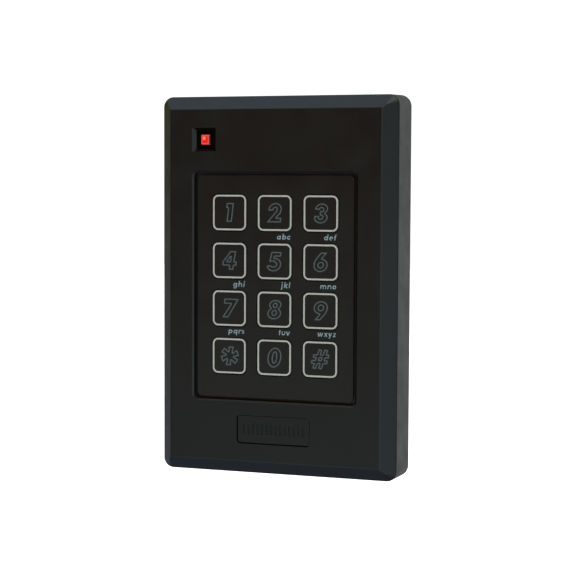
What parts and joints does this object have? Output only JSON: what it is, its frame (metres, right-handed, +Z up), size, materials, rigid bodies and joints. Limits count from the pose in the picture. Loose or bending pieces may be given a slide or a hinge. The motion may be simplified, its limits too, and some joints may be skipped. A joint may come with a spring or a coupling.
{
  "type": "keypad access reader",
  "caption": "Wall-mounted door access reader: sprung keys in a recessed window, a status lamp in its own pocket, a plain badge, and its electronics over a screw-on back plate.",
  "frame": {"origin": "centre of the back face, on the wall plane", "axes": "+Z up along the height, +X to the viewer's right across the width, -Y out of the wall towards the viewer, so +Y goes into the wall"},
  "size_m": [0.0756, 0.0167, 0.1154],
  "materials": {
    "housing": "fine moulded texture, satin",
    "badge": "fine moulded texture, satin",
    "back_plate": "plain moulded, satin",
    "gasket": "matt foam rubber",
    "grommet": "smooth rubber",
    "steel": "zinc-plated steel",
    "panel": "dark film, semi-gloss",
    "key_cap": "dark film, semi-gloss, printed legend",
    "red_lens": "clear red, lit from behind",
    "silicone": "translucent grey silicone",
    "carbon_pill": "carbon-filled silicone",
    "gold": "gold-plated copper",
    "board": "green solder mask on glass epoxy",
    "led_package": "white package",
    "chip": "moulded epoxy",
    "crystal_can": "plated steel can",
    "capacitor_can": "plain aluminium can",
    "ceramic": "ceramic chip parts",
    "copper": "enamelled copper wire",
    "buzzer_case": "moulded case",
    "terminal_body": "moulded terminal housing"
  },
  "bodies": {
    "housing": {"front_cover": "housing", "rim_gasket": "gasket", "back_plate": "back_plate", "cable_grommet": "grommet", "security_screw": "steel", "keypad_panel": "panel", "badge_plate": "badge", "light_pipe": "red_lens", "dome_mat": "silicone", "contact_pills": "carbon_pill", "contact_pads": "gold", "circuit_board": "board", "board_screws": "steel", "status_led": "led_package", "microcontroller": "chip", "reader_chip": "chip", "crystal": "crystal_can", "voltage_regulator": "chip", "capacitors": "capacitor_can", "small_parts": "ceramic", "antenna_coil": "copper", "buzzer": "buzzer_case", "tamper_sensor": "chip", "terminal_block": "terminal_body", "terminal_screws": "steel"},
    "key_1": {"key_1": "key_cap"},
    "key_2": {"key_2": "key_cap"},
    "key_3": {"key_3": "key_cap"},
    "key_4": {"key_4": "key_cap"},
    "key_5": {"key_5": "key_cap"},
    "key_6": {"key_6": "key_cap"},
    "key_7": {"key_7": "key_cap"},
    "key_8": {"key_8": "key_cap"},
    "key_9": {"key_9": "key_cap"},
    "key_star": {"key_star": "key_cap"},
    "key_0": {"key_0": "key_cap"},
    "key_hash": {"key_hash": "key_cap"}
  },
  "joints": [
    {"name": "key_1_press", "type": "slide", "parent": "housing", "child": "key_1", "axis": [0, 1, 0], "range_m": [0, 0.0005], "stiffness_N_per_m": 1500, "deforming": ["dome_mat"]},
    {"name": "key_2_press", "type": "slide", "parent": "housing", "child": "key_2", "axis": [0, 1, 0], "range_m": [0, 0.0005], "stiffness_N_per_m": 1500, "deforming": ["dome_mat"]},
    {"name": "key_3_press", "type": "slide", "parent": "housing", "child": "key_3", "axis": [0, 1, 0], "range_m": [0, 0.0005], "stiffness_N_per_m": 1500, "deforming": ["dome_mat"]},
    {"name": "key_4_press", "type": "slide", "parent": "housing", "child": "key_4", "axis": [0, 1, 0], "range_m": [0, 0.0005], "stiffness_N_per_m": 1500, "deforming": ["dome_mat"]},
    {"name": "key_5_press", "type": "slide", "parent": "housing", "child": "key_5", "axis": [0, 1, 0], "range_m": [0, 0.0005], "stiffness_N_per_m": 1500, "deforming": ["dome_mat"]},
    {"name": "key_6_press", "type": "slide", "parent": "housing", "child": "key_6", "axis": [0, 1, 0], "range_m": [0, 0.0005], "stiffness_N_per_m": 1500, "deforming": ["dome_mat"]},
    {"name": "key_7_press", "type": "slide", "parent": "housing", "child": "key_7", "axis": [0, 1, 0], "range_m": [0, 0.0005], "stiffness_N_per_m": 1500, "deforming": ["dome_mat"]},
    {"name": "key_8_press", "type": "slide", "parent": "housing", "child": "key_8", "axis": [0, 1, 0], "range_m": [0, 0.0005], "stiffness_N_per_m": 1500, "deforming": ["dome_mat"]},
    {"name": "key_9_press", "type": "slide", "parent": "housing", "child": "key_9", "axis": [0, 1, 0], "range_m": [0, 0.0005], "stiffness_N_per_m": 1500, "deforming": ["dome_mat"]},
    {"name": "key_star_press", "type": "slide", "parent": "housing", "child": "key_star", "axis": [0, 1, 0], "range_m": [0, 0.0005], "stiffness_N_per_m": 1500, "deforming": ["dome_mat"]},
    {"name": "key_0_press", "type": "slide", "parent": "housing", "child": "key_0", "axis": [0, 1, 0], "range_m": [0, 0.0005], "stiffness_N_per_m": 1500, "deforming": ["dome_mat"]},
    {"name": "key_hash_press", "type": "slide", "parent": "housing", "child": "key_hash", "axis": [0, 1, 0], "range_m": [0, 0.0005], "stiffness_N_per_m": 1500, "deforming": ["dome_mat"]}
  ]
}
